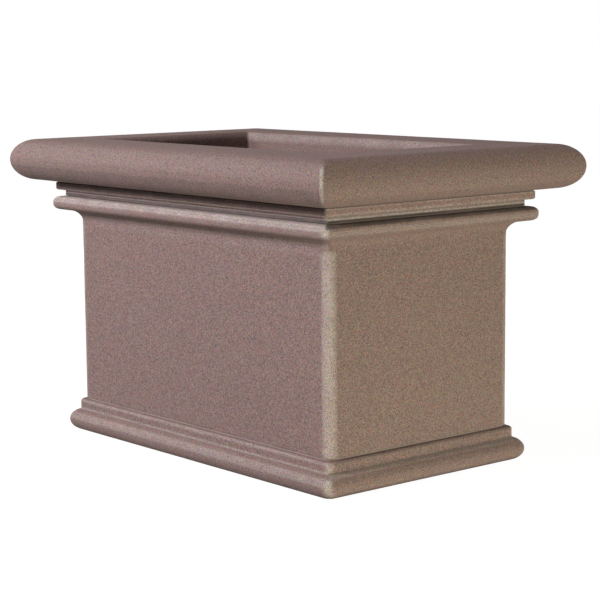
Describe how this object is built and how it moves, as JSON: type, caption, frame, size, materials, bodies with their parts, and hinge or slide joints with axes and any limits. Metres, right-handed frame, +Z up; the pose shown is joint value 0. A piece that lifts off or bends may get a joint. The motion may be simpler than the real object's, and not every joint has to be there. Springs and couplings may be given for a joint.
{
  "type": "rectangular concrete planter",
  "caption": "Rectangular cast concrete planter with a moulded plinth, plain walls, a bead and necking, and a wide bullnose rim around a deep open planting hollow.",
  "frame": {"origin": "middle of the footprint, on the ground under the bearing pads", "axes": "+X along the long side, +Y along the short side, +Z up out of the planting hollow"},
  "size_m": [0.914, 0.61, 0.562],
  "materials": {
    "concrete": "matte, lightly sandblasted, pinkish grey",
    "mortar": "matte, raked joint",
    "stainless": "bright drawn bar",
    "bar_steel": "hot rolled, thin brown scale",
    "drain_plastic": "moulded, fine grain",
    "pad_rubber": "matte",
    "zinc_steel": "zinc plated"
  },
  "bodies": {
    "root": {"bearing_pads": "pad_rubber", "plinth_moulding": "concrete", "plinth_bed": "mortar", "plinth_dowels": "stainless", "tub_body": "concrete", "necking_bed": "mortar", "necking_course": "concrete", "rim_bed": "mortar", "rim_coping": "concrete", "rim_dowels": "stainless", "rim_long_bars": "bar_steel", "rim_short_bars": "bar_steel", "drain_sleeves": "drain_plastic", "drain_screens": "drain_plastic", "lifting_sockets": "zinc_steel"}
  },
  "joints": []
}
